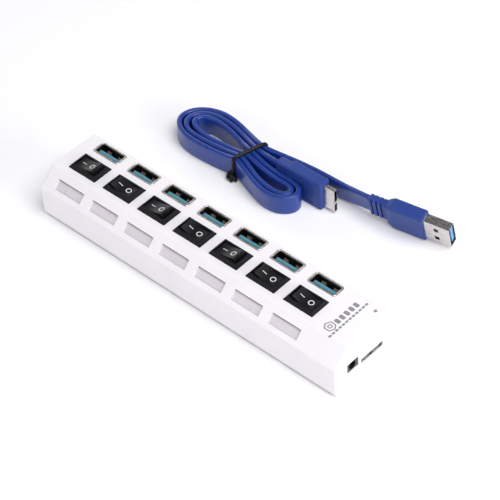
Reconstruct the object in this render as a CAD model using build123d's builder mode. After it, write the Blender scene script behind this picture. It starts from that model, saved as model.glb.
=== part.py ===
"""Seven-port USB 3 hub with a rocker switch for each port, and the flat lead that comes with it.

The origin is the middle of the hub's underside. +X runs along the hub to the end with the power
inlet, +Y to the back, where the sockets are, and +Z up. All sizes are in millimetres.
"""

import os
from math import cos, hypot, radians, sin

from build123d import *

os.makedirs("parts", exist_ok=True)

# ---- the case ----
hub_length = 160.0
hub_width = 33.0
hub_height = 22.0
wall = 1.6
edge_radius = 1.3
foot_gap = 0.6  # the case stands this far above the surface
seam_height = 14.79  # the cover meets the case along the foot of the sloped band
slope_top = (-8.86, hub_height)  # the sloped band's upper edge, as (y, z)
slope_foot = (-hub_width / 2, seam_height)
floor_top = foot_gap + wall
roof_under = hub_height - wall
inner_length = hub_length - 2 * wall
inner_half_width = hub_width / 2 - wall

# ---- what repeats along the hub ----
port_count = 7
port_pitch = 19.5
first_port_x = -65.75
port_xs = [first_port_x + n * port_pitch for n in range(port_count)]

# ---- circuit board ----
board_top = 7.5
board_thickness = 1.6
board_under = board_top - board_thickness
board_length = 155.6
board_width = 28.6

# ---- upright USB-A sockets ----
socket_y = 11.2
socket_inside = (12.5, 5.12)
socket_sheet = 0.3
lip_size = (14.3, 6.5)
lip_under = hub_height - 0.5
lip_top = hub_height + 0.25
lip_roll = 0.33
tongue_y = 10.55
tongue_size = (10.8, 1.65)
tongue_base_top = 10.5
tongue_top = hub_height - 1.0
finger_places = (-3.1, 3.1)

# ---- rocker switches ----
switch_y = -0.38
bezel_size = (15.0, 10.3)
bezel_rise = 1.5
bezel_slope = 33.7
bezel_softness = 0.15
housing_size = (13.0, 8.6)
housing_under = 10.6
pocket_size = (11.7, 6.7)
pocket_floor = 18.0
chamber_size = (10.4, 6.7)
chamber_floor = 12.4
pivot_z = 20.6
pivot_radius = 0.85
rocker_width = 6.3
rocker_tilt = 11.0  # each way from level
rocker_softness = 0.25
switched_on = (True, False, True, False, True, False, False)
terminal_offset = 3.4
terminal_size = (0.6, 2.0)

# ---- windows in the sloped band ----
window_size = (14.4, 4.5)
window_from_top = 3.49
window_sink = 0.7
guide_thickness = 1.2

# ---- screws and feet ----
screw_places = ((-75.8, 9.0), (-75.8, -5.0), (63.0, 11.0), (63.0, -6.5))
head_seat = 2.8
foot_places = ((-66.0, 9.5), (-66.0, -9.5), (71.0, 9.5), (71.0, -9.5))
foot_radius = 4.0
foot_height = 1.2

# ---- inlets in the end face ----
dc_place = (-6.7, 11.0)  # (y, z) of the mouth's middle
dc_mouth = (6.4, 4.9)
dc_bore_radius = 1.9
dc_pin_radius = 0.65
upstream_y = 4.55
upstream_z = board_top + 1.35
upstream_lobes = ((1.55, 6.9), (8.2, 5.6))  # (y, width) of the two lobes
upstream_height = 2.7

# ---- the flat lead ----
lead_width = 9.5
lead_thickness = 2.4


def save(piece, name):
    """Label a finished piece and write it as a STEP file."""
    piece.part.label = name
    export_step(piece.part, f"parts/{name}.step")


def slope_frame():
    """The plane of the sloped band: local x along the hub, local y up the slope from its foot."""
    run, rise = slope_top[0] - slope_foot[0], slope_top[1] - slope_foot[1]
    long = hypot(run, rise)
    return Plane(
        origin=(0, *slope_foot), x_dir=(1, 0, 0), z_dir=(0, -rise / long, run / long)
    )


slope = slope_frame()
slope_length = hypot(slope_top[0] - slope_foot[0], slope_top[1] - slope_foot[1])
window_v = slope_length - window_from_top - window_size[1] / 2


def slope_line_y(depth, z):
    """The y at height z of the line that lies this deep under the sloped band."""
    normal = slope.z_dir
    return slope_foot[0] - (depth + (z - slope_foot[1]) * normal.Z) / normal.Y


def slope_line_z(depth, y):
    """The height at y of the line that lies this deep under the sloped band."""
    normal = slope.z_dir
    return slope_foot[1] - (depth + (y - slope_foot[0]) * normal.Y) / normal.Z


# =====================================================================================
# The case
# =====================================================================================

half_width = hub_width / 2

with BuildPart() as case_block:
    with BuildSketch(Plane.YZ.offset(-hub_length / 2)):
        with BuildLine():
            Polyline(
                (-half_width, foot_gap),
                (half_width, foot_gap),
                (half_width, hub_height),
                slope_top,
                slope_foot,
                close=True,
            )
        make_face()
    extrude(amount=hub_length)
    fillet(case_block.edges(), radius=edge_radius)

with BuildPart() as inside_block:
    with BuildSketch(Plane.YZ.offset(-inner_length / 2)):
        with BuildLine():
            Polyline(
                (-inner_half_width, floor_top),
                (inner_half_width, floor_top),
                (inner_half_width, roof_under),
                (slope_line_y(wall, roof_under), roof_under),
                (-inner_half_width, slope_line_z(wall, -inner_half_width)),
                close=True,
            )
        make_face()
    extrude(amount=inner_length)

power_led_place = (75.0, 12.6)
power_led_radius = 0.75

with BuildPart() as top_cover:
    add(case_block.part)
    split(bisect_by=Plane.XY.offset(seam_height), keep=Keep.TOP)
    add(inside_block.part, mode=Mode.SUBTRACT)
    # screw bosses, each with its pilot hole
    with BuildSketch(Plane.XY.offset(board_top)):
        with Locations(*screw_places):
            Circle(2.0)
    extrude(amount=roof_under - board_top)
    with BuildSketch(Plane.XY.offset(board_top)):
        with Locations(*screw_places):
            Circle(1.1)
    extrude(amount=10, mode=Mode.SUBTRACT)
    # openings for the sockets, the switches and the power light
    with BuildSketch(Plane.XY.offset(hub_height)):
        with Locations(*[(x, socket_y) for x in port_xs]):
            RectangleRounded(lip_size[0] + 0.2, lip_size[1] + 0.2, 1.3)
        with Locations(*[(x, switch_y) for x in port_xs]):
            Rectangle(housing_size[0] + 0.2, housing_size[1] + 0.2)
        with Locations(power_led_place):
            Circle(power_led_radius + 0.05)
    extrude(amount=-wall, mode=Mode.SUBTRACT)
    # windows in the sloped band
    with BuildSketch(slope):
        with Locations(*[(x, window_v) for x in port_xs]):
            Rectangle(*window_size)
    extrude(amount=-(wall + 0.05), mode=Mode.SUBTRACT)
save(top_cover, "top_cover")

with BuildPart() as bottom_case:
    add(case_block.part)
    split(bisect_by=Plane.XY.offset(seam_height), keep=Keep.BOTTOM)
    add(inside_block.part, mode=Mode.SUBTRACT)
    # standoffs that carry the board
    with BuildSketch(Plane.XY.offset(floor_top)):
        with Locations(*screw_places):
            Circle(2.5)
    extrude(amount=board_under - floor_top)
    with BuildSketch(Plane.XY.offset(foot_gap)):
        with Locations(*screw_places):
            Circle(3.4)
    extrude(amount=head_seat + 0.8 - foot_gap)
    # screw holes with sunk seats for the heads
    with BuildSketch(Plane.XY.offset(foot_gap)):
        with Locations(*screw_places):
            Circle(1.3)
    extrude(amount=board_under - foot_gap, mode=Mode.SUBTRACT)
    with BuildSketch(Plane.XY.offset(foot_gap)):
        with Locations(*screw_places):
            Circle(2.4)
    extrude(amount=head_seat - foot_gap, mode=Mode.SUBTRACT)
    # recesses for the feet
    with BuildSketch(Plane.XY.offset(foot_gap)):
        with Locations(*foot_places):
            Circle(foot_radius + 0.1)
    extrude(amount=foot_height - foot_gap, mode=Mode.SUBTRACT)
    # mouths in the end face
    with BuildSketch(Plane.YZ.offset(hub_length / 2)):
        with Locations(dc_place):
            Rectangle(dc_mouth[0] + 0.2, dc_mouth[1] + 0.2)
        with Locations((upstream_y, upstream_z)):
            RectangleRounded(13.2, upstream_height + 0.2, 0.5)
    extrude(amount=-wall, mode=Mode.SUBTRACT)
save(bottom_case, "bottom_case")

with BuildPart() as case_screws:
    with BuildSketch(Plane.XY.offset(head_seat - 1.7)):
        with Locations(*screw_places):
            Circle(2.1)
    extrude(amount=1.7)
    with BuildSketch(Plane.XY.offset(head_seat)):
        with Locations(*screw_places):
            Circle(1.05)
    extrude(amount=14)
    # cross recess in each head
    with BuildSketch(Plane.XY.offset(head_seat - 1.7)):
        with Locations(*screw_places):
            Rectangle(2.4, 0.5)
            Rectangle(0.5, 2.4)
    extrude(amount=0.8, mode=Mode.SUBTRACT)
save(case_screws, "case_screws")

with BuildPart() as rubber_feet:
    with BuildSketch():
        with Locations(*foot_places):
            Circle(foot_radius)
    extrude(amount=foot_height)
    fillet(rubber_feet.faces().group_by(Axis.Z)[0].edges(), radius=0.3)
save(rubber_feet, "rubber_feet")

# =====================================================================================
# The board and what stands on it
# =====================================================================================

terminal_places = [(x + side * terminal_offset, switch_y) for x in port_xs for side in (-1, 1)]

with BuildPart() as circuit_board:
    with BuildSketch(Plane.XY.offset(board_under)):
        Rectangle(board_length, board_width)
        with Locations(*screw_places):
            Circle(1.4, mode=Mode.SUBTRACT)
        with Locations(*terminal_places):
            Circle(1.15, mode=Mode.SUBTRACT)
    extrude(amount=board_thickness)
save(circuit_board, "circuit_board")

with BuildPart() as hub_controller_chips:
    with BuildSketch(Plane.XY.offset(board_top)):
        with Locations((-36.5, -1), (22.0, -1)):
            RectangleRounded(7, 7, 0.3)
    extrude(amount=0.9)
save(hub_controller_chips, "hub_controller_chips")

with BuildPart() as crystal:
    with BuildSketch(Plane.XY.offset(board_top)):
        with Locations((41.5, -1)):
            RectangleRounded(8, 3.8, 1.7)
    extrude(amount=2.6)
save(crystal, "crystal")

with BuildPart() as capacitors:
    with BuildSketch(Plane.XY.offset(board_top)):
        with Locations(*[(x + 5, -9.6) for x in port_xs]):
            RectangleRounded(4.3, 4.3, 0.5)
    extrude(amount=0.8)
    with BuildSketch(Plane.XY.offset(board_top + 0.8)):
        with Locations(*[(x + 5, -9.6) for x in port_xs]):
            Circle(2)
    extrude(amount=4.4)
save(capacitors, "capacitors")

with BuildPart() as port_leds:
    with BuildSketch(Plane.XY.offset(board_top)):
        with Locations(*[(x - 2, -12.2) for x in port_xs]):
            Rectangle(3.2, 1.6)
    extrude(amount=0.7)
    with BuildSketch(Plane.XY.offset(board_top + 0.7)):
        with Locations(*[(x - 2, -12.2) for x in port_xs]):
            Rectangle(1.8, 1.4)
    extrude(amount=0.4)
save(port_leds, "port_leds")

with BuildPart() as power_led:
    with BuildSketch(Plane.XY.offset(board_top)):
        with Locations(power_led_place):
            Circle(1.3)
    extrude(amount=9)
    with BuildSketch(Plane.XY.offset(board_top + 9)):
        with Locations(power_led_place):
            Circle(power_led_radius)
    extrude(amount=hub_height - 0.4 - board_top - 9)
save(power_led, "power_led")

# the sloped band's light guide: one strip behind the band, with a raised lens in each window
with BuildPart() as window_light_guide:
    with BuildSketch(slope.offset(-wall)):
        with Locations(((port_xs[0] + port_xs[-1]) / 2, window_v)):
            Rectangle(port_xs[-1] - port_xs[0] + window_size[0] + 2, window_size[1] + 1.4)
    extrude(amount=-guide_thickness)
    with BuildSketch(slope.offset(-wall)):
        with Locations(*[(x, window_v) for x in port_xs]):
            Rectangle(window_size[0] - 0.1, window_size[1] - 0.1)
    extrude(amount=wall - window_sink)
save(window_light_guide, "window_light_guide")

# =====================================================================================
# USB-A sockets
# =====================================================================================

shell_outside = (socket_inside[0] + 2 * socket_sheet, socket_inside[1] + 2 * socket_sheet)
back_wall_y = socket_y + socket_inside[1] / 2

with BuildPart() as socket_shell:
    with BuildSketch(Plane.XY.offset(board_top)):
        with Locations((0, socket_y)):
            RectangleRounded(*shell_outside, 0.6)
    extrude(amount=lip_under - board_top)
    # the sheet is rolled over into a lip round the mouth
    with BuildSketch(Plane.XY.offset(lip_under)):
        with Locations((0, socket_y)):
            RectangleRounded(*lip_size, 1.2)
    extrude(amount=lip_top - lip_under)
    with BuildSketch(Plane.XY.offset(board_top)):
        with Locations((0, socket_y)):
            RectangleRounded(*socket_inside, 0.5)
    extrude(amount=lip_top - board_top, mode=Mode.SUBTRACT)
    fillet(socket_shell.faces().sort_by(Axis.Z)[-1].edges(), radius=lip_roll)
    # a spring finger in each of two windows in the back wall
    with BuildSketch(Plane.XZ.offset(-back_wall_y)):
        with Locations(*[(x, 16.4) for x in finger_places]):
            Rectangle(2.8, 6.4)
    extrude(amount=-socket_sheet, mode=Mode.SUBTRACT)
    for x in finger_places:
        with BuildSketch(Plane.YZ.offset(x - 1)):
            with BuildLine():
                Polyline(
                    (back_wall_y, 12.9),
                    (back_wall_y + socket_sheet, 12.9),
                    (back_wall_y + socket_sheet, 13.4),
                    (back_wall_y - 0.35, 17.2),
                    (back_wall_y + 0.05, 19.0),
                    (back_wall_y - 0.25, 19.0),
                    (back_wall_y - 0.65, 17.2),
                    (back_wall_y, 13.4),
                    close=True,
                )
            make_face()
        extrude(amount=2)

with BuildPart() as socket_tongue:
    with BuildSketch(Plane.XY.offset(board_top)):
        with Locations((0, socket_y)):
            RectangleRounded(socket_inside[0] - 0.1, socket_inside[1] - 0.1, 0.6)
    extrude(amount=tongue_base_top - board_top)
    with BuildSketch(Plane.XY.offset(tongue_base_top)):
        with Locations((0, tongue_y)):
            Rectangle(*tongue_size)
    extrude(amount=tongue_top - tongue_base_top)
    chamfer(socket_tongue.faces().sort_by(Axis.Z)[-1].edges(), length=0.25)

contact_face = tongue_y + tongue_size[1] / 2
long_contacts = [(n - 1.5) * 2.4 for n in range(4)]
short_contacts = [(n - 2) * 1.9 for n in range(5)]

with BuildPart() as usb_socket_contacts:
    with BuildSketch(Plane.XZ.offset(-contact_face)):
        with Locations(*[(x + offset, 13.6) for x in port_xs for offset in long_contacts]):
            Rectangle(1.0, 5.6)
        with Locations(*[(x + offset, 18.6) for x in port_xs for offset in short_contacts]):
            Rectangle(0.8, 3.2)
    extrude(amount=-0.15)
save(usb_socket_contacts, "usb_socket_contacts")

for number, x in enumerate(port_xs, start=1):
    with BuildPart() as placed_shell:
        with Locations((x, 0, 0)):
            add(socket_shell.part)
    save(placed_shell, f"usb_socket_shell_{number}")
    with BuildPart() as placed_tongue:
        with Locations((x, 0, 0)):
            add(socket_tongue.part)
    save(placed_tongue, f"usb_socket_tongue_{number}")

# =====================================================================================
# Rocker switches
# =====================================================================================

with BuildPart() as housing:
    with BuildSketch(Plane.XY.offset(housing_under)):
        with Locations((0, switch_y)):
            Rectangle(*housing_size)
    extrude(amount=hub_height - housing_under)
    with BuildSketch(Plane.XY.offset(hub_height)):
        with Locations((0, switch_y)):
            Rectangle(*bezel_size)
    extrude(amount=bezel_rise, taper=bezel_slope)
    fillet(housing.faces().sort_by(Axis.Z)[-1].edges(), radius=bezel_softness)
    # barbs that snap behind the cover
    for side in (-1, 1):
        with BuildSketch(Plane.XZ.offset(-switch_y - 2)):
            with BuildLine():
                Polyline(
                    (side * housing_size[0] / 2, roof_under - 0.1),
                    (side * (housing_size[0] / 2 + 0.5), roof_under - 0.1),
                    (side * housing_size[0] / 2, roof_under - 3),
                    close=True,
                )
            make_face()
        extrude(amount=4)
    # the rocker's pocket, the contact chamber under it, and the pivot holes
    with BuildSketch(Plane.XY.offset(pocket_floor)):
        with Locations((0, switch_y)):
            Rectangle(*pocket_size)
    extrude(amount=hub_height + bezel_rise - pocket_floor, mode=Mode.SUBTRACT)
    with BuildSketch(Plane.XY.offset(chamber_floor)):
        with Locations((0, switch_y)):
            Rectangle(*chamber_size)
    extrude(amount=pocket_floor - chamber_floor, mode=Mode.SUBTRACT)
    with BuildSketch(Plane.XZ.offset(-switch_y - housing_size[1] / 2)):
        with Locations((0, pivot_z)):
            Circle(pivot_radius + 0.12)
    extrude(amount=housing_size[1], mode=Mode.SUBTRACT)
    with BuildSketch(Plane.XY.offset(housing_under)):
        with Locations((-terminal_offset, switch_y), (terminal_offset, switch_y)):
            Rectangle(terminal_size[0] + 0.1, terminal_size[1] + 0.1)
    extrude(amount=chamber_floor - housing_under, mode=Mode.SUBTRACT)

with BuildPart() as switch_terminals:
    with BuildSketch(Plane.XY.offset(board_under - 0.6)):
        with Locations(*terminal_places):
            Rectangle(*terminal_size)
    extrude(amount=15.2 - board_under + 0.6)
save(switch_terminals, "switch_terminals")

for number, (x, is_on) in enumerate(zip(port_xs, switched_on), start=1):
    with BuildPart() as placed_housing:
        with Locations((x, 0, 0)):
            add(housing.part)
    save(placed_housing, f"switch_housing_{number}")

    # the rocker's own plane: its pivot is the origin, and it is tipped to one stop
    tilt = radians(-rocker_tilt if is_on else rocker_tilt)
    tipped = Plane(
        origin=(x, switch_y, pivot_z), x_dir=(cos(tilt), 0, -sin(tilt)), z_dir=(0, -1, 0)
    )
    with BuildPart() as rocker:
        with BuildSketch(tipped.offset(-rocker_width / 2)):
            with BuildLine():
                ThreePointArc((-4.9, 3.6), (0, 2.8), (4.9, 3.6))
                Polyline((4.9, 3.6), (5.25, 1.0), (4.6, -1.2), (1.6, -1.6), (1.6, -3.6))
                Line((1.6, -3.6), (-1.6, -3.6))
                Polyline((-1.6, -3.6), (-1.6, -1.6), (-4.6, -1.2), (-5.25, 1.0), (-4.9, 3.6))
            make_face()
        extrude(amount=rocker_width)
        rim = [e for e in rocker.edges() if tipped.to_local_coords(e.center()).Y > 2.7]
        fillet(rim, radius=rocker_softness)
        with BuildSketch(tipped.offset(-(housing_size[1] / 2 - 0.2))):
            Circle(pivot_radius)
        extrude(amount=housing_size[1] - 0.4)
    save(rocker, f"rocker_{number}")

    # the bridge under the rocker that joins the two terminals when it is on
    with BuildPart() as bridge:
        with BuildSketch(tipped.offset(-1.1)):
            with BuildLine():
                Polyline(
                    (-2.8, -3.85),
                    (-1.6, -3.6),
                    (1.6, -3.6),
                    (2.8, -3.85),
                    (2.8, -4.2),
                    (1.6, -3.95),
                    (-1.6, -3.95),
                    (-2.8, -4.2),
                    close=True,
                )
            make_face()
        extrude(amount=2.2)
    save(bridge, f"rocker_contact_{number}")

# =====================================================================================
# Inlets in the end face
# =====================================================================================

dc_y, dc_z = dc_place
nose_x = hub_length / 2 - wall - 0.1

with BuildPart() as dc_jack_body:
    with BuildSketch(Plane.YZ.offset(66.5)):
        with Locations((dc_y, (board_top + 14) / 2)):
            Rectangle(7.4, 14 - board_top)
    extrude(amount=nose_x - 66.5)
    with BuildSketch(Plane.YZ.offset(nose_x)):
        with Locations(dc_place):
            Rectangle(*dc_mouth)
    extrude(amount=hub_length / 2 - 0.4 - nose_x)
    with BuildSketch(Plane.YZ.offset(69)):
        with Locations(dc_place):
            Circle(dc_bore_radius)
    extrude(amount=hub_length / 2 - 69, mode=Mode.SUBTRACT)
save(dc_jack_body, "dc_jack_body")

with BuildPart() as dc_jack_pin:
    with BuildSketch(Plane.YZ.offset(69)):
        with Locations(dc_place):
            Circle(dc_pin_radius)
    extrude(amount=8.8)
    fillet(dc_jack_pin.faces().sort_by(Axis.X)[-1].edges(), radius=0.4)
save(dc_jack_pin, "dc_jack_pin")

upstream_back = 72.5
upstream_front = hub_length / 2 - 0.2

with BuildPart() as micro_b_socket_shell:
    with BuildSketch(Plane.YZ.offset(upstream_back)):
        for lobe_y, lobe_width in upstream_lobes:
            with Locations((lobe_y, upstream_z)):
                RectangleRounded(lobe_width, upstream_height, 0.7)
        with Locations((5.2, upstream_z - 0.3)):
            Rectangle(1.4, upstream_height - 0.6)
    extrude(amount=upstream_front - upstream_back)
    with BuildSketch(Plane.YZ.offset(upstream_back + 0.3)):
        for lobe_y, lobe_width in upstream_lobes:
            with Locations((lobe_y, upstream_z)):
                RectangleRounded(lobe_width - 0.6, upstream_height - 0.6, 0.45)
        with Locations((5.2, upstream_z - 0.3)):
            Rectangle(1.4, upstream_height - 1.2)
    extrude(amount=upstream_front - upstream_back, mode=Mode.SUBTRACT)
save(micro_b_socket_shell, "micro_b_socket_shell")

with BuildPart() as micro_b_socket_tongue:
    with BuildSketch(Plane.YZ.offset(upstream_back + 0.3)):
        with Locations((4.9, upstream_z - 0.3)):
            Rectangle(11.0, 1.4)
    extrude(amount=1.6)
    with BuildSketch(Plane.YZ.offset(upstream_back + 1.9)):
        for lobe_y, lobe_width in upstream_lobes:
            with Locations((lobe_y, upstream_z - 0.3)):
                Rectangle(lobe_width - 2.0, 0.6)
    extrude(amount=4.6)
save(micro_b_socket_tongue, "micro_b_socket_tongue")

# =====================================================================================
# The lead: a hank, a straight end to each plug, the two plugs and the tie
# =====================================================================================


def standing_plane(x, y, z, yaw, lean):
    """A plug's plane: local x towards its tip, local y up its width, local z to the front.

    yaw turns the tip to the back, and lean tips the top to the front, in degrees.
    """
    tip = Vector(cos(radians(yaw)), sin(radians(yaw)), 0)
    flat = Vector(sin(radians(yaw)), -cos(radians(yaw)), 0)
    front = flat * cos(radians(lean)) - Vector(0, 0, 1) * sin(radians(lean))
    return Plane(origin=(x, y, z), x_dir=tip, z_dir=front)


def across(plug, along):
    """The plane across a plug at a distance along it: local x up its width, local z to its tip."""
    return Plane(origin=plug.from_local_coords((along, 0, 0)), x_dir=plug.y_dir, z_dir=plug.x_dir)


# the elastic tie: one loop round all six strands, and its knot in front
tie_radius = 0.8
tie_inside = (16.0, 8.4)
tie_height = tie_inside[1] / 2 + 2 * tie_radius
tie_plane = Plane(origin=(-30.6, 57.6, tie_height), x_dir=(0.27, 0.963, 0), z_dir=(0.963, -0.27, 0))

with BuildPart() as cable_tie:
    with BuildSketch(tie_plane.offset(-tie_radius)):
        RectangleRounded(tie_inside[0] + 4 * tie_radius, tie_inside[1] + 4 * tie_radius, 3)
        RectangleRounded(*tie_inside, 1.3, mode=Mode.SUBTRACT)
    extrude(amount=2 * tie_radius)
    fillet(cable_tie.edges(), radius=0.95 * tie_radius)
    with BuildSketch(Plane(origin=(-35.2, 48.6, 1.7), z_dir=(0.87, -0.5, 0))):
        Circle(1.5)
    extrude(amount=4.2)
save(cable_tie, "cable_tie")

with BuildPart() as lead_hank:
    with BuildSketch():
        with BuildLine():
            Spline(
                (-31.0, 49.9),
                (-20.5, 46.6),
                (-9.5, 43.8),
                (-1.0, 47.2),
                (1.2, 52.6),
                (-4.5, 57.1),
                tangents=[(0.9, -0.1), (-0.9, 0.1)],
            )
            Polyline((-4.5, 57.1), (-16.35, 57.1), (-16.35, 62.6), (-26.0, 63.0), (-26.6, 65.4))
            Spline(
                (-26.6, 65.4),
                (-40.2, 68.6),
                (-55.0, 70.7),
                (-66.5, 66.5),
                (-70.2, 58.5),
                (-65.0, 50.6),
                (-53.9, 48.4),
                (-43.0, 49.1),
                (-31.0, 49.9),
                tangents=[(-0.9, 0.25), (0.9, -0.1)],
            )
        make_face()
    extrude(amount=lead_width)
    add(cable_tie.part, mode=Mode.SUBTRACT)
save(lead_hank, "lead_hank")

# micro-B plug, standing on its long edge
micro_plug = standing_plane(8.5, 60.55, 7.1, 1, 0)
micro_body = (19.0, 14.1, 5.9)  # along, up and through the plug
micro_relief_end = 24.8
micro_shell_length = 5.5
micro_lobes = ((2.6, 6.3), (-3.6, 4.3))  # (middle, width) up the plug

with BuildPart() as micro_b_plug_overmold:
    with BuildSketch(micro_plug.offset(-micro_body[2] / 2)):
        with Locations((-micro_body[0] / 2, 0)):
            RectangleRounded(micro_body[0], micro_body[1], 1.2)
    extrude(amount=micro_body[2])
    flat_faces = micro_b_plug_overmold.faces().filter_by(Axis(micro_plug.origin, micro_plug.z_dir))
    fillet(flat_faces.edges(), radius=0.8)
    # a shallow panel sunk in the front
    with BuildSketch(micro_plug.offset(micro_body[2] / 2 - 0.25)):
        with Locations((-9.5, -1.0)):
            RectangleRounded(10.6, 8.0, 0.5)
    extrude(amount=1, mode=Mode.SUBTRACT)
    with BuildSketch(across(micro_plug, 2 - micro_body[0])):
        RectangleRounded(13.2, 5.1, 0.9)
    with BuildSketch(across(micro_plug, -micro_relief_end)):
        RectangleRounded(12.2, 4.4, 0.9)
    loft()
save(micro_b_plug_overmold, "micro_b_plug_overmold")

with BuildPart() as micro_b_plug_shell:
    with BuildSketch(across(micro_plug, 0)):
        for height, width in micro_lobes:
            with Locations((height, 0)):
                RectangleRounded(width, 1.9, 0.4)
        with Locations((-1.0, 0.3)):
            Rectangle(1.4, 1.3)
    extrude(amount=micro_shell_length)
    with BuildSketch(across(micro_plug, 1.2)):
        for height, width in micro_lobes:
            with Locations((height, 0)):
                RectangleRounded(width - 0.5, 1.4, 0.25)
    extrude(amount=micro_shell_length, mode=Mode.SUBTRACT)
save(micro_b_plug_shell, "micro_b_plug_shell")

# USB-A plug, leaning on its long edge
a_plug = standing_plane(52.5, 72.3, 8.2, 10.4, 14.9)
a_body = (15.2, 6.2)  # up and through the plug
a_body_start = 15.0
a_shoulder_end = 17.4
a_relief_end = 25.5
a_relief_rise = 0.4
a_shell_rise = 0.3

with BuildPart() as usb_a_plug_overmold:
    with BuildSketch(across(a_plug, -a_body_start)):
        RectangleRounded(*a_body, 1.2)
    extrude(amount=a_body_start)
    fillet(usb_a_plug_overmold.faces().sort_by(Axis.X)[-1].edges(), radius=0.6)
    with BuildSketch(across(a_plug, -a_shoulder_end)):
        RectangleRounded(12.4, 4.9, 1.1)
    with BuildSketch(across(a_plug, -a_body_start)):
        RectangleRounded(*a_body, 1.2)
    loft()
    with BuildSketch(across(a_plug, -a_relief_end)):
        with Locations((a_relief_rise, 0)):
            RectangleRounded(11.2, 4.0, 1.2)
    extrude(amount=a_relief_end - a_shoulder_end + 0.5)
    # slots that let the strain relief bend
    for along in (-19.7, -21.9, -24.1):
        for side in (-1, 1):
            with BuildSketch(a_plug.offset(side * 1.15)):
                with Locations((along, 0)):
                    Rectangle(0.8, 13)
            extrude(amount=side * 2, mode=Mode.SUBTRACT)
save(usb_a_plug_overmold, "usb_a_plug_overmold")

with BuildPart() as usb_a_plug_shell:
    with BuildSketch(across(a_plug, 0)):
        with Locations((a_shell_rise, 0)):
            RectangleRounded(12.0, 4.5, 0.5)
            RectangleRounded(11.4, 3.9, 0.3, mode=Mode.SUBTRACT)
    extrude(amount=11.6)
    with BuildSketch(a_plug.offset(-2.5)):
        with Locations((5.6, a_shell_rise + 2.8), (5.6, a_shell_rise - 2.8)):
            Rectangle(2.1, 2.1)
    extrude(amount=5, mode=Mode.SUBTRACT)
save(usb_a_plug_shell, "usb_a_plug_shell")

with BuildPart() as usb_a_plug_insulator:
    with BuildSketch(across(a_plug, 0)):
        with Locations((a_shell_rise, -0.95)):
            RectangleRounded(11.3, 1.9, 0.4)
    extrude(amount=10.9)
save(usb_a_plug_insulator, "usb_a_plug_insulator")

# the straight end to the USB-A plug, which leans over with the plug
tail_places = (  # x, y, z, yaw and lean along it
    (-26.2, 64.3, 4.85, 15, 0),
    (-6.0, 67.9, 4.85, 3, 2),
    (14.0, 68.5, 5.9, 0, 8),
)

with BuildPart() as lead_tail:
    for x, y, z, yaw, lean in tail_places:
        leaning = standing_plane(x, y, z, yaw, lean)
        with BuildSketch(across(leaning, 0)):
            Rectangle(lead_width, lead_thickness)
    with BuildSketch(across(a_plug, -a_relief_end)):
        with Locations((a_relief_rise, 0)):
            Rectangle(lead_width, lead_thickness)
    loft(ruled=True)
save(lead_tail, "lead_tail")
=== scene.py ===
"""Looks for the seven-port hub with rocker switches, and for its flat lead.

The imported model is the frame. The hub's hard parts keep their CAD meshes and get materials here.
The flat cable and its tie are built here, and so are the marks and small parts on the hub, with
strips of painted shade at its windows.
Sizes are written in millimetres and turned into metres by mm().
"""

from math import cos, radians, sin, tau

import bmesh
import bpy
from mathutils import Matrix, Vector


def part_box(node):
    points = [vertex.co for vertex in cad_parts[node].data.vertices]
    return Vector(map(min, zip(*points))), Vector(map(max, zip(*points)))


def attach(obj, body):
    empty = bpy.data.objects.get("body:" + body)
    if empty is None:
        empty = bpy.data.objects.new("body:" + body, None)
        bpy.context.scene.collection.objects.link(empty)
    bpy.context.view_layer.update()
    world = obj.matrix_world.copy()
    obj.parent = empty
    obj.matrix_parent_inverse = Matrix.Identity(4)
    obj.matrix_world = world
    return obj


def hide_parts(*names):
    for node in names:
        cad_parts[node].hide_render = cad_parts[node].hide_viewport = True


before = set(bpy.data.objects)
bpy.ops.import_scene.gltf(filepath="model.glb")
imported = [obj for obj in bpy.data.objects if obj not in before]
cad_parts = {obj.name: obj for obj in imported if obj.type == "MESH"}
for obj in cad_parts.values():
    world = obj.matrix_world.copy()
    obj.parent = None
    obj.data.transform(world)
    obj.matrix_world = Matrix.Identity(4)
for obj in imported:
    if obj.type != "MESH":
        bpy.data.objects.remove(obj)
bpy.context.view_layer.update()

port_numbers = range(1, 8)
port_pitch = 19.5
first_port_x = -65.75
port_xs = [first_port_x + (number - 1) * port_pitch for number in port_numbers]


def mm(*numbers):
    """Millimetres as a vector in metres, or one number where one is given."""
    if len(numbers) == 1:
        return numbers[0] / 1000
    return Vector(numbers) / 1000


def middle(node):
    """The middle of a CAD node's box."""
    low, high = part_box(node)
    return (low + high) / 2


# =====================================================================================
# Camera
# =====================================================================================

camera_place = mm(446.36, -434.37, 639.24)
camera_right = Vector((0.74257, 0.66857, -0.04004))
camera_forward = Vector((-0.49326, 0.50547, -0.70795))
camera_lens = 159.83


def make_camera():
    data = bpy.data.cameras.new("camera")
    data.lens = camera_lens
    data.sensor_width = 36
    data.clip_start, data.clip_end = 0.05, 10
    camera = bpy.data.objects.new("camera", data)
    up = camera_right.cross(camera_forward)
    turn = Matrix((camera_right, up, -camera_forward)).transposed().to_4x4()
    camera.matrix_world = Matrix.Translation(camera_place) @ turn
    bpy.context.collection.objects.link(camera)
    bpy.context.scene.camera = camera


make_camera()

# =====================================================================================
# Mesh helpers
# =====================================================================================


def new_piece(name, mesh, smooth=True):
    """A linked object for a finished mesh."""
    for face in mesh.polygons:
        face.use_smooth = smooth
    piece = bpy.data.objects.new(name, mesh)
    bpy.context.collection.objects.link(piece)
    return piece


def from_bmesh(name, bm, smooth=True):
    mesh = bpy.data.meshes.new(name)
    bmesh.ops.recalc_face_normals(bm, faces=bm.faces)
    bm.to_mesh(mesh)
    bm.free()
    return new_piece(name, mesh, smooth)


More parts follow.
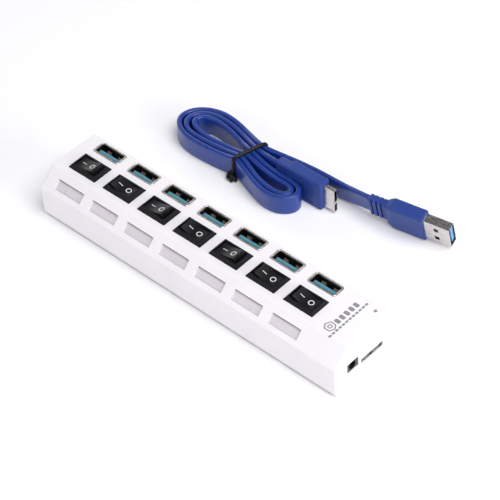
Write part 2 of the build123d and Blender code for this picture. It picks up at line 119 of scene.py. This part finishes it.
def rounded_rectangle(width, height, radius, corner_steps=4, side_steps=1):
    """Points round a rounded rectangle, anticlockwise, from the middle of its right side."""
    corners = [
        (width / 2 - radius, height / 2 - radius, 0),
        (-width / 2 + radius, height / 2 - radius, 90),
        (-width / 2 + radius, -height / 2 + radius, 180),
        (width / 2 - radius, -height / 2 + radius, 270),
    ]
    points = []
    for x, y, start in corners:
        for step in range(corner_steps + 1):
            angle = radians(start + 90 * step / corner_steps)
            points.append(Vector((x + radius * cos(angle), y + radius * sin(angle))))
    if side_steps == 1:
        return points
    filled = []
    for here, there in zip(points, points[1:] + points[:1]):
        filled.append(here)
        if (there - here).length > 2 * radius:
            filled += [here.lerp(there, step / side_steps) for step in range(1, side_steps)]
    return filled


def join_rings(bm, ring, after):
    """Faces between two rings of as many vertices."""
    size = len(ring)
    for place in range(size):
        beside = (place + 1) % size
        bm.faces.new((ring[place], ring[beside], after[beside], after[place]))


def skin(bm, rings, closed=False):
    """Faces between rings of vertices, with end caps unless the rings close on themselves."""
    count = len(rings)
    for index in range(count if closed else count - 1):
        join_rings(bm, rings[index], rings[(index + 1) % count])
    if not closed:
        bm.faces.new(rings[0])
        bm.faces.new(rings[-1])


def curve_points(name, points, steps, cyclic=False):
    """The points of an order-3 NURBS spline with these control points."""
    curve = bpy.data.curves.new(name, "CURVE")
    curve.dimensions = "3D"
    curve.resolution_u = steps
    spline = curve.splines.new("NURBS")
    spline.points.add(len(points) - 1)
    for place, point in zip(spline.points, points):
        place.co = (*point, 1)
    spline.order_u = 3
    spline.use_endpoint_u = not cyclic
    spline.use_cyclic_u = cyclic
    holder = bpy.data.objects.new(name, curve)
    bpy.context.collection.objects.link(holder)
    bpy.context.view_layer.update()
    mesh = bpy.data.meshes.new_from_object(holder)
    found = [vertex.co.copy() for vertex in mesh.vertices]
    bpy.data.objects.remove(holder)
    bpy.data.curves.remove(curve)
    bpy.data.meshes.remove(mesh)
    return found


def tangents(points, closed=False):
    """The direction of the line at each of its points."""
    count = len(points)
    found = []
    for index in range(count):
        before = points[index - 1] if closed or index else points[0]
        after = points[(index + 1) % count] if closed or index + 1 < count else points[-1]
        found.append((after - before).normalized())
    return found


def round_tube(bm, points, radius, sides=12, closed=False, blunt=0.0):
    """A round tube along points. blunt rounds its two ends over that length."""
    directions = tangents(points, closed)
    side = directions[0].orthogonal().normalized()
    rings = []
    for index, (point, direction) in enumerate(zip(points, directions)):
        side = (side - direction * side.dot(direction)).normalized()
        across = direction.cross(side)
        size = radius
        if blunt:
            from_end = min((point - points[0]).length, (point - points[-1]).length)
            size = radius * max(0.15, 1 - max(0, 1 - from_end / blunt) ** 2) ** 0.5
        ring = []
        for place in range(sides):
            angle = tau * place / sides
            offset = side * cos(angle) + across * sin(angle)
            ring.append(bm.verts.new(point + offset * size))
        rings.append(ring)
    skin(bm, rings, closed)


# =====================================================================================
# The flat cable
# =====================================================================================

cable_width = 9.5
cable_thickness = 2.2
cable_low = 4.75  # centreline height of the cable where it stands on the floor
cable_high = 5.9  # and where the tie lifts it

# where each of the six strands goes through the tie, from the front to the back
in_tie = [
    (-32.3, 51.3), (-31.6, 53.8), (-30.95, 56.3), (-30.3, 58.8), (-29.6, 61.3), (-28.9, 63.8),
]
from_micro_b = [(-15.9, 60.1, 6.6), (-20.0, 60.3, 6.5), (-25.0, 60.8, 6.1)]
middle_left_loop = [
    (-39.0, 64.4), (-46.0, 66.3), (-52.5, 67.2), (-58.2, 66.9), (-62.8, 65.3), (-65.8, 62.3),
    (-66.7, 58.9), (-65.6, 55.4), (-62.2, 52.9), (-57.0, 52.0), (-50.0, 52.2), (-40.0, 53.2),
]
inner_right_loop = [
    (-27.0, 52.4), (-19.5, 49.4), (-13.8, 48.0), (-9.6, 47.6), (-6.0, 47.9), (-3.3, 49.2),
    (-2.4, 51.5), (-3.7, 53.4), (-6.8, 54.0), (-11.0, 53.9), (-16.0, 54.0), (-23.0, 55.1),
]
inner_left_loop = [
    (-38.0, 55.8), (-46.0, 54.9), (-53.0, 54.6), (-58.0, 55.2), (-62.0, 56.8), (-63.8, 59.4),
    (-62.6, 62.3), (-59.6, 64.0), (-55.5, 64.6), (-50.0, 64.2), (-44.0, 62.9), (-38.0, 61.1),
]
outer_right_loop = [
    (-23.0, 57.6), (-16.0, 56.7), (-10.0, 56.6), (-5.0, 56.5), (-1.3, 55.3), (0.3, 52.7),
    (-0.2, 49.6), (-2.6, 46.9), (-6.0, 45.3), (-9.8, 44.9), (-13.7, 45.3), (-19.3, 46.9),
    (-27.0, 49.7),
]
outer_left_loop = [
    (-38.0, 50.7), (-46.0, 49.7), (-54.0, 49.3), (-60.6, 49.8), (-65.6, 51.8), (-69.0, 54.9),
    (-70.0, 58.6), (-68.6, 63.1), (-64.8, 66.9), (-60.0, 69.1), (-54.9, 70.0), (-47.5, 69.2),
    (-40.0, 67.2),
]
to_usb_a = [
    (-22.0, 65.6, 4.9), (-14.0, 67.0, 4.75), (-6.0, 67.9, 4.75), (3.0, 68.4, 4.8),
    (12.0, 68.6, 5.3), (20.0, 68.3, 6.9), (28.2, 67.95, 8.5),
]


def cable_route():
    """The cable's control points, from the micro-B plug to the USB-A plug."""
    runs = [
        (middle_left_loop, 1), (inner_right_loop, 2), (inner_left_loop, 3),
        (outer_right_loop, 0), (outer_left_loop, 5),
    ]
    route = [mm(*point) for point in from_micro_b] + [mm(*in_tie[4], cable_high)]
    for run, strand in runs:
        route += [mm(x, y, cable_low) for x, y in run]
        route.append(mm(*in_tie[strand], cable_high))
    return route + [mm(*point) for point in to_usb_a]


lean_length = mm(32)  # the cable's last stretch, over which it leans with the USB-A plug
plug_lean = radians(14.9)

cable_path = curve_points("cable_line", cable_route(), 8)


def make_cable():
    profile = rounded_rectangle(mm(cable_width), mm(cable_thickness), mm(0.75), 4, 4)
    bm = bmesh.new()
    rings = []
    remaining = sum((b - a).length for a, b in zip(cable_path, cable_path[1:]))
    last = cable_path[0]
    for point, direction in zip(cable_path, tangents(cable_path)):
        remaining -= (point - last).length
        last = point
        share = max(0.0, 1 - remaining / lean_length)
        lean = plug_lean * share * share * (3 - 2 * share)
        level = Vector((direction.y, -direction.x, 0)).normalized()  # to the front of the cable
        up = level.cross(direction).normalized()
        up = up if up.z > 0 else -up
        leaned = up * cos(lean) + level * sin(lean)
        flat = leaned.cross(direction).normalized()
        rings.append([bm.verts.new(point + leaned * p.x + flat * p.y) for p in profile])
    skin(bm, rings)
    return from_bmesh("flat_cable", bm)


flat_cable = make_cable()

# =====================================================================================
# The elastic tie round the hank
# =====================================================================================

tie_radius = 0.8
tie_front = Vector((-0.27, -0.963, 0))  # from the back of the tie to its front
tie_middle = (-30.6, 57.6)


def make_tie():
    """One loop of elastic cord round all six strands, with its knot and two ends in front."""
    half_across = cable_thickness / 2 + 2.5 * 2.5 + tie_radius + 0.15
    top = cable_high + cable_width / 2 + tie_radius - 0.1
    bottom = 0.62
    shape = [
        (0.0, top), (0.55, top), (0.9, top - 0.1), (1.0, top - 1.3), (1.02, 6.0),
        (1.0, 2.2), (0.88, bottom), (0.5, bottom), (0.0, bottom), (-0.5, bottom),
        (-0.88, bottom), (-1.0, 2.2), (-1.02, 6.0), (-1.0, top - 1.3), (-0.9, top - 0.1),
        (-0.55, top),
    ]
    place = Vector((*tie_middle, 0))
    points = [
        (place + tie_front * (half_across * share) + Vector((0, 0, height))) / 1000
        for share, height in shape
    ]
    bm = bmesh.new()
    loop = curve_points("tie_line", points, 8, cyclic=True)
    side = Vector((tie_front.y, -tie_front.x, 0))
    rings = []
    for point, direction in zip(loop, tangents(loop, closed=True)):
        outward = direction.cross(side).normalized()
        # the run under the strands is pressed flat against the floor
        press = 0.68 if point.z < mm(1.0) else 1.0
        ring = []
        for step in range(14):
            angle = tau * step / 14
            offset = side * cos(angle) / press ** 0.5 + outward * sin(angle) * press
            ring.append(bm.verts.new(point + offset * mm(tie_radius)))
        rings.append(ring)
    skin(bm, rings, closed=True)
    knot = place + tie_front * (half_across + 1.2)
    for points_mm in knot_cords(knot):
        line = curve_points("knot_line", [p / 1000 for p in points_mm], 8)
        round_tube(bm, line, mm(tie_radius), 14, blunt=mm(0.7))
    return from_bmesh("elastic_tie", bm)


def knot_cords(knot):
    """The knot's two cords, each turned round the other, with their short ends."""
    along = Vector((0.963, -0.27, 0))
    out = tie_front
    up = Vector((0, 0, 1))

    def spot(a, o, z):
        return knot + along * a + out * o + up * z

    first = [
        spot(-2.6, -0.2, 1.3), spot(-1.5, 0.5, 2.1), spot(-0.2, 0.9, 2.6), spot(1.0, 0.1, 2.3),
        spot(0.9, -0.9, 1.4), spot(-0.3, -0.4, 1.0), spot(0.9, 1.0, 1.0), spot(2.4, 1.3, 0.95),
    ]
    second = [
        spot(0.2, -1.1, 3.2), spot(-0.7, 0.0, 3.0), spot(-1.2, 1.1, 2.0), spot(-0.1, 1.6, 1.3),
        spot(1.0, 0.9, 1.9), spot(1.3, -0.3, 1.5), spot(2.2, -0.7, 1.1), spot(3.2, -0.2, 0.9),
    ]
    return first, second


elastic_tie = make_tie()

# =====================================================================================
# Materials
# =====================================================================================


class Nodes:
    """A new material's node tree, with the few nodes that these materials are made from."""

    def __init__(self, name):
        self.material = bpy.data.materials.new(name)
        self.material.use_nodes = True
        self.tree = self.material.node_tree
        self.tree.nodes.clear()
        self.shader = self.add("ShaderNodeBsdfPrincipled")
        output = self.add("ShaderNodeOutputMaterial")
        self.link(self.shader.outputs[0], output.inputs["Surface"])
        self.place = self.add("ShaderNodeTexCoord").outputs["Object"]

    def add(self, kind, **values):
        node = self.tree.nodes.new(kind)
        for name, value in values.items():
            setattr(node, name, value)
        return node

    def link(self, start, end):
        self.tree.links.new(start, end)

    def noise(self, scale, detail=3.0, stretch=None):
        """Noise in the object's own space. stretch scales the space first."""
        node = self.add("ShaderNodeTexNoise")
        node.inputs["Scale"].default_value = scale
        node.inputs["Detail"].default_value = detail
        source = self.place
        if stretch:
            mapping = self.add("ShaderNodeMapping")
            mapping.inputs["Scale"].default_value = stretch
            self.link(self.place, mapping.inputs["Vector"])
            source = mapping.outputs[0]
        self.link(source, node.inputs["Vector"])
        return node.outputs["Fac"]

    def ramp(self, source, stops):
        """A colour ramp: stops are (position, colour)."""
        node = self.add("ShaderNodeValToRGB")
        elements = node.color_ramp.elements
        while len(elements) < len(stops):
            elements.new(0.5)
        for element, (position, colour) in zip(elements, stops):
            element.position = position
            element.color = (*colour, 1)
        self.link(source, node.inputs["Fac"])
        return node.outputs["Color"]

    def span(self, source, low, high, to_low=0.0, to_high=1.0):
        """The source's range low to high mapped to another range."""
        node = self.add("ShaderNodeMapRange")
        for key, value in zip(
            ("From Min", "From Max", "To Min", "To Max"), (low, high, to_low, to_high)
        ):
            node.inputs[key].default_value = value
        self.link(source, node.inputs["Value"])
        return node.outputs["Result"]

    def axis(self, name):
        """One coordinate of the object's own space, in metres."""
        node = self.add("ShaderNodeSeparateXYZ")
        self.link(self.place, node.inputs[0])
        return node.outputs[name]

    def blend(self, factor, first, second):
        """A mix of two colours, each a socket or a plain colour."""
        node = self.add("ShaderNodeMix", data_type="RGBA")
        self.link(factor, node.inputs["Factor"])
        for socket, value in ((node.inputs[6], first), (node.inputs[7], second)):
            if isinstance(value, tuple):
                socket.default_value = (*value, 1)
            else:
                self.link(value, socket)
        return node.outputs[2]

    def bump(self, source, strength, distance):
        node = self.add("ShaderNodeBump")
        node.inputs["Strength"].default_value = strength
        node.inputs["Distance"].default_value = distance
        self.link(source, node.inputs["Height"])
        self.link(node.outputs[0], self.shader.inputs["Normal"])

    def colour(self, source):
        self.link(source, self.shader.inputs["Base Color"])

    def roughness(self, source):
        self.link(source, self.shader.inputs["Roughness"])

    def set(self, **values):
        for name, value in values.items():
            self.shader.inputs[name.replace("_", " ")].default_value = value


def close_colours(colour, spread):
    """Two colours just under and just over one."""
    return tuple(c * (1 - spread) for c in colour), tuple(min(1, c * (1 + spread)) for c in colour)


def plastic(name, colour, spread, roughness, grain_scale, grain, **values):
    """Moulded plastic: slightly uneven colour, uneven gloss and a fine grain."""
    m = Nodes(name)
    low, high = close_colours(colour, spread)
    m.colour(m.ramp(m.noise(60, 4), [(0.3, low), (0.7, high)]))
    m.roughness(m.span(m.noise(220, 3), 0.3, 0.7, roughness - 0.05, roughness + 0.06))
    m.bump(m.noise(grain_scale, 2), grain, 0.0002)
    m.set(**values)
    return m.material


def metal(name, colour, roughness, stretch=(1, 1, 12), spread=0.08):
    """Sheet metal with the faint streaks of rolling and plating."""
    m = Nodes(name)
    low, high = close_colours(colour, spread)
    streaks = m.noise(400, 4, stretch)
    m.colour(m.ramp(streaks, [(0.3, low), (0.7, high)]))
    m.roughness(m.span(streaks, 0.3, 0.7, roughness - 0.06, roughness + 0.1))
    m.bump(streaks, 0.08, 0.0001)
    m.set(Metallic=1.0)
    return m.material


def paint(obj, material):
    """One material all over a piece or a CAD node."""
    if not obj.material_slots:
        obj.data.materials.append(material)
    for slot in obj.material_slots:
        slot.material = material


def numbered(stem):
    return [f"{stem}_{number}" for number in port_numbers]


case_white = plastic("case_white", (0.84, 0.82, 0.85), 0.015, 0.34, 1500, 0.10)
window_plastic = plastic(
    "window_plastic", (0.66, 0.62, 0.66), 0.04, 0.3, 900, 0.05, Coat_Weight=0.3
)
switch_black = plastic(
    "switch_black", (0.005, 0.005, 0.006), 0.2, 0.36, 1300, 0.15, Specular_IOR_Level=0.22
)
rocker_black = plastic(
    "rocker_black", (0.004, 0.004, 0.005), 0.2, 0.36, 900, 0.05, Specular_IOR_Level=0.3
)
mark_white = plastic("mark_white", (0.72, 0.72, 0.74), 0.05, 0.5, 900, 0.05)
print_grey = plastic("print_grey", (0.24, 0.235, 0.25), 0.08, 0.55, 900, 0.05)
inlet_black = plastic("inlet_black", (0.006, 0.006, 0.007), 0.2, 0.35, 900, 0.1)
contact_pad = plastic("contact_pad", (0.62, 0.60, 0.56), 0.05, 0.4, 900, 0.05)
foot_rubber = plastic("foot_rubber", (0.03, 0.03, 0.032), 0.15, 0.75, 700, 0.4)
cable_blue = plastic(
    "cable_blue", (0.010, 0.040, 0.250), 0.06, 0.32, 700, 0.10,
    Specular_IOR_Level=0.35, Coat_Weight=0.35, Coat_Roughness=0.16,
)
plug_blue = plastic(
    "plug_blue", (0.019, 0.049, 0.245), 0.05, 0.44, 1500, 0.18, Specular_IOR_Level=0.35
)
tongue_blue = plastic("tongue_blue", (0.075, 0.25, 0.34), 0.06, 0.4, 900, 0.05)
insulator_blue = plastic("insulator_blue", (0.16, 0.36, 0.68), 0.06, 0.35, 900, 0.05)
tie_black = plastic("tie_black", (0.004, 0.004, 0.005), 0.2, 0.3, 700, 0.3, Specular_IOR_Level=0.25)
led_lens = plastic("led_lens", (0.35, 0.25, 0.21), 0.1, 0.3, 900, 0.05)
board_green = plastic("board_green", (0.02, 0.13, 0.07), 0.15, 0.4, 500, 0.2)
chip_plastic = plastic("chip_plastic", (0.012, 0.012, 0.012), 0.1, 0.5, 1200, 0.2)
screw_steel = metal("screw_steel", (0.55, 0.54, 0.53), 0.3)
plug_steel = metal("plug_steel", (0.66, 0.625, 0.61), 0.24)
tin_plate = metal("tin_plate", (0.70, 0.70, 0.70), 0.25)
contact_gold = metal("contact_gold", (0.85, 0.62, 0.25), 0.25)
terminal_brass = metal("terminal_brass", (0.75, 0.58, 0.3), 0.3)


def make_socket_steel():
    """A socket's shell: bright steel at its lip, with painted shade that darkens it down inside."""
    m = Nodes("socket_steel")
    streaks = m.noise(400, 4, (1, 1, 12))
    bright = m.ramp(streaks, [(0.3, (0.66, 0.62, 0.58)), (0.7, (0.80, 0.76, 0.72))])
    # painted shade: below the lip the steel colour fades to dark brown, standing in for the shade
    # down inside the socket
    painted_shade_fade = m.span(m.axis("Z"), mm(20.9), mm(21.6))
    m.colour(m.blend(painted_shade_fade, (0.16, 0.13, 0.11), bright))
    m.roughness(m.span(streaks, 0.3, 0.7, 0.2, 0.36))
    m.bump(streaks, 0.08, 0.0001)
    m.set(Metallic=1.0)
    return m.material


socket_steel = make_socket_steel()

node_materials = {
    case_white: ["top_cover", "bottom_case"],
    window_plastic: ["window_light_guide"],
    switch_black: numbered("switch_housing"),
    rocker_black: numbered("rocker"),
    socket_steel: numbered("usb_socket_shell"),
    tongue_blue: numbered("usb_socket_tongue"),
    contact_gold: ["usb_socket_contacts", *numbered("rocker_contact")],
    terminal_brass: ["switch_terminals"],
    inlet_black: ["dc_jack_body"],
    contact_pad: ["micro_b_socket_tongue"],
    plug_steel: ["micro_b_plug_shell", "usb_a_plug_shell", "dc_jack_pin"],
    tin_plate: ["micro_b_socket_shell", "crystal", "capacitors"],
    plug_blue: ["micro_b_plug_overmold", "usb_a_plug_overmold"],
    insulator_blue: ["usb_a_plug_insulator"],
    led_lens: ["power_led", "port_leds"],
    board_green: ["circuit_board"],
    chip_plastic: ["hub_controller_chips"],
    screw_steel: ["case_screws"],
    foot_rubber: ["rubber_feet"],
}
for material, nodes in node_materials.items():
    for node in nodes:
        paint(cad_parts[node], material)

# painted shade: a near-black metal laid on the plug shells' inner faces, where shade falls inside
# them
inside_shade_metal = metal("inside_shade_metal", (0.035, 0.033, 0.035), 0.45)


def paint_shade_inside(node, along):
    """The inner faces of a plug's shell get painted shade, a near-black metal standing in for the
    shade inside the shell. along is the shell's direction.
    """
    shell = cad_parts[node]
    shell.data.materials.append(inside_shade_metal)
    centre = middle(node)
    for face in shell.data.polygons:
        out = face.center - centre
        out -= along * out.dot(along)
        if abs(face.normal.dot(along)) < 0.5 and face.normal.dot(out) < 0:
            face.material_index = len(shell.data.materials) - 1


usb_a_heading = Vector((0.9836, 0.1805, 0))
micro_b_heading = Vector((1, 0, 0))
paint_shade_inside("usb_a_plug_shell", usb_a_heading)
paint_shade_inside("micro_b_plug_shell", micro_b_heading)

paint(flat_cable, cable_blue)
paint(elastic_tie, tie_black)

# =====================================================================================
# Marks on the rockers and on the cover
# =====================================================================================

rocker_tilt = radians(11)
rocker_axle_height = 20.6
dish_radius = (4.9 ** 2 + 0.8 ** 2) / (2 * 0.8)
dish_low = 2.8  # the dished top's lowest point, above the axle
sign_lift = 0.035  # how far the rockers' signs stand out
print_lift = 0.015  # and the cover's print


def dish_height(x):
    """The height above the axle of the rocker's dished top at x along it."""
    return dish_low + dish_radius - (dish_radius ** 2 - x * x) ** 0.5


def strip_mark(bm, outline_rings, lift, settle):
    """Closed rings of flat points skinned into a thin raised mark. settle places a point."""
    rings = []
    for ring in outline_rings:
        rings.append([bm.verts.new(settle(x, y, lift_share * lift)) for x, y, lift_share in ring])
    for ring, after in zip(rings, rings[1:]):
        join_rings(bm, ring, after)
    return rings


def ring_mark(bm, x, y, radius, stroke, lift, settle, steps=36):
    """A raised circle line."""
    rings = []
    for size, share in (
        (radius - stroke / 2, -1.0), (radius - stroke / 2, 1.0),
        (radius + stroke / 2, 1.0), (radius + stroke / 2, -1.0),
    ):
        ring = []
        for step in range(steps):
            angle = tau * step / steps
            ring.append((x + size * cos(angle), y + size * sin(angle), share))
        rings.append(ring)
    strip_mark(bm, rings, lift, settle)


def bar_mark(bm, x, y, long, wide, lift, settle):
    """A raised straight stroke with round ends, long in x."""
    outline = rounded_rectangle(long, wide, min(long, wide) * 0.3, 3, 4)
    low = [(x + p.x, y + p.y, -1.0) for p in outline]
    high = [(x + p.x, y + p.y, 1.0) for p in outline]
    rings = strip_mark(bm, [low, high], lift, settle)
    for ring in rings:
        bm.faces.new(ring)


def make_rocker_marks(number):
    """The on and off signs on one rocker: a bar at its far end and a circle at its near end."""
    housing_low, housing_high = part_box(f"switch_housing_{number}")
    axle_x = (housing_low.x + housing_high.x) / 2
    axle_y = middle(f"rocker_{number}").y
    # the end that stands higher tells which way the rocker is tipped
    tipped_on = high_end(number) > axle_x
    tilt = -rocker_tilt if tipped_on else rocker_tilt

    def settle(x, y, lift):
        along, height = x, dish_height(x) + lift
        return Vector((
            axle_x + mm(along * cos(tilt) + height * sin(tilt)),
            axle_y + mm(y),
            mm(rocker_axle_height + height * cos(tilt) - along * sin(tilt)),
        ))

    bm = bmesh.new()
    bar_mark(bm, -2.15, -0.1, 2.2, 0.27, sign_lift, settle)
    ring_mark(bm, 2.4, -0.25, 1.08, 0.38, sign_lift, settle)
    marks = from_bmesh(f"rocker_marks_{number}", bm, smooth=False)
    paint(marks, mark_white)
    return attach(marks, f"switch_rocker_{number}")


def high_end(number):
    """Where along the hub the rocker's highest point is."""
    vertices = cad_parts[f"rocker_{number}"].data.vertices
    return max(vertices, key=lambda vertex: vertex.co.z).co.x


for number in port_numbers:
    make_rocker_marks(number)


def make_cover_print():
    """Plain grey marks where the cover is printed: a ring in a ring, and rows of short bars."""
    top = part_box("top_cover")[1].z * 1000
    emblem = (67.0, -4.65)

    def settle(x, y, lift):
        return mm(x, y, top + lift)

    bm = bmesh.new()
    ring_mark(bm, *emblem, 2.35, 0.6, print_lift, settle, 6)
    ring_mark(bm, *emblem, 0.9, 0.55, print_lift, settle, 6)
    for place in range(5):
        bar_mark(bm, 67.45, -0.75 + place * 2.75, 2.7, 1.8, print_lift, settle)
    for place in range(12):
        bar_mark(bm, 70.3, -8.4 + place * 1.95, 0.95, 1.5, print_lift, settle)
    marks = from_bmesh("cover_print", bm, smooth=False)
    paint(marks, print_grey)
    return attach(marks, "root")


make_cover_print()

# =====================================================================================
# Small parts of the sockets and windows
# =====================================================================================

finger_steel = plastic("finger_steel", (0.62, 0.46, 0.38), 0.1, 0.35, 900, 0.05, Metallic=0.35)
# painted shade: dark brown strips at two edges of each lens, a real narrow gap widened into the
# shade on the sunk walls
window_gap_shade = plastic("window_gap_shade", (0.15, 0.095, 0.075), 0.1, 0.6, 900, 0.05)
finger_offset = 3.1  # from the middle of the socket to the middle of a finger
finger_half = 1.05  # half a finger's width, and a little more


def warm_fingers():
    """The spring fingers in each socket's back wall get the warm metal."""
    for number, port_x in zip(port_numbers, port_xs):
        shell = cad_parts[f"usb_socket_shell_{number}"]
        shell.data.materials.append(finger_steel)
        for face in shell.data.polygons:
            x, y, z = face.center * 1000
            from_finger = abs(abs(x - port_x) - finger_offset)
            if from_finger < finger_half and 12.9 < y < 14.1 and 13.0 < z < 19.05:
                face.material_index = len(shell.data.materials) - 1


slope_foot = Vector((-16.5, 14.79))  # the sloped band's lower edge, as (y, z)
slope_top = Vector((-8.86, 22.0))
window_half = 7.2
window_span = (2.515, 7.015)  # the windows' lower and upper edges, up the slope
gap_shade_wide, gap_shade_narrow = 0.24, 0.16
gap_shade_depths = (0.72, 0.12)


def on_slope(x, up, depth):
    """A point this far up the sloped band and this deep under it."""
    run = (slope_top - slope_foot).normalized()
    spot = slope_foot + run * up + Vector((run.y, -run.x)) * depth
    return mm(x, spot.x, spot.y)


def make_window_gap_shades():
    """A dark strip at the upper edge and the near end of each window's lens: the real gap round the
    lens, widened with painted shade on the two sides where shade falls.
    """
    low, high = window_span
    bm = bmesh.new()
    for x in port_xs:
        for x_low, x_high, up_low, up_high in (
            (x - window_half, x + window_half, high - gap_shade_wide, high),
            (x + window_half - gap_shade_narrow, x + window_half, low, high),
        ):
            corners = ((x_low, up_low), (x_high, up_low), (x_high, up_high), (x_low, up_high))
            rings = [
                [bm.verts.new(on_slope(x_at, up, depth)) for x_at, up in corners]
                for depth in gap_shade_depths
            ]
            skin(bm, rings)
    gap_shades = from_bmesh("window_gap_shades", bm, smooth=False)
    paint(gap_shades, window_gap_shade)
    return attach(gap_shades, "root")


warm_fingers()
make_window_gap_shades()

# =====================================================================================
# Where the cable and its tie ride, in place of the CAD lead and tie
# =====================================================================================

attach(flat_cable, "root")
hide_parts("lead_hank", "lead_tail")
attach(elastic_tie, "root")
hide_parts("cable_tie")

# =====================================================================================
# Floor, world and lights
# =====================================================================================


def make_floor():
    bm = bmesh.new()
    bmesh.ops.create_grid(bm, x_segments=8, y_segments=8, size=3)
    floor = from_bmesh("floor", bm)
    m = Nodes("floor_white")
    m.colour(m.ramp(m.noise(3, 2), [(0.3, (0.95, 0.95, 0.955)), (0.7, (0.97, 0.97, 0.975))]))
    m.set(Roughness=0.75, Specular_IOR_Level=0.2)
    paint(floor, m.material)


def make_world():
    """A pale room: bright near the horizon and dim overhead, so metal and black have contrast."""
    world = bpy.data.worlds.new("studio")
    world.use_nodes = True
    tree = world.node_tree
    place = tree.nodes.new("ShaderNodeTexCoord")
    split = tree.nodes.new("ShaderNodeSeparateXYZ")
    ramp = tree.nodes.new("ShaderNodeValToRGB")
    tree.links.new(place.outputs["Generated"], split.inputs[0])
    tree.links.new(split.outputs["Z"], ramp.inputs["Fac"])
    tree.links.new(ramp.outputs["Color"], tree.nodes["Background"].inputs["Color"])
    stops = [
        (0.0, (0.92, 0.90, 0.93)), (0.25, (0.70, 0.68, 0.71)),
        (0.55, (0.26, 0.26, 0.28)), (1.0, (0.10, 0.10, 0.11)),
    ]
    elements = ramp.color_ramp.elements
    while len(elements) < len(stops):
        elements.new(0.5)
    for element, (position, colour) in zip(elements, stops):
        element.position = position
        element.color = (*colour, 1)
    bpy.context.scene.world = world


def softbox(name, place, aim, size, power, colour=(1, 1, 1)):
    """A square area light that faces a point."""
    data = bpy.data.lights.new(name, "AREA")
    data.shape = "RECTANGLE"
    data.size, data.size_y = size
    data.energy = power
    data.color = colour
    light = bpy.data.objects.new(name, data)
    light.location = place
    light.rotation_mode = "QUATERNION"
    light.rotation_quaternion = (Vector(aim) - Vector(place)).to_track_quat("-Z", "Y")
    bpy.context.collection.objects.link(light)


make_floor()
make_world()
softbox("key", (0.45, 0.0, 1.0), (0, 0.02, 0), (0.8, 0.8), 10.0)
softbox("end", (0.95, 0.05, 0.35), (0.08, 0, 0.01), (0.5, 0.4), 3.5)
softbox("left", (-0.95, 0.6, 0.5), (0, 0.03, 0), (0.9, 0.5), 2.4)
softbox("front", (-0.1, -0.95, 0.5), (0, 0, 0.01), (0.8, 0.4), 1.5)

scene = bpy.context.scene
scene.view_settings.view_transform = "Standard"
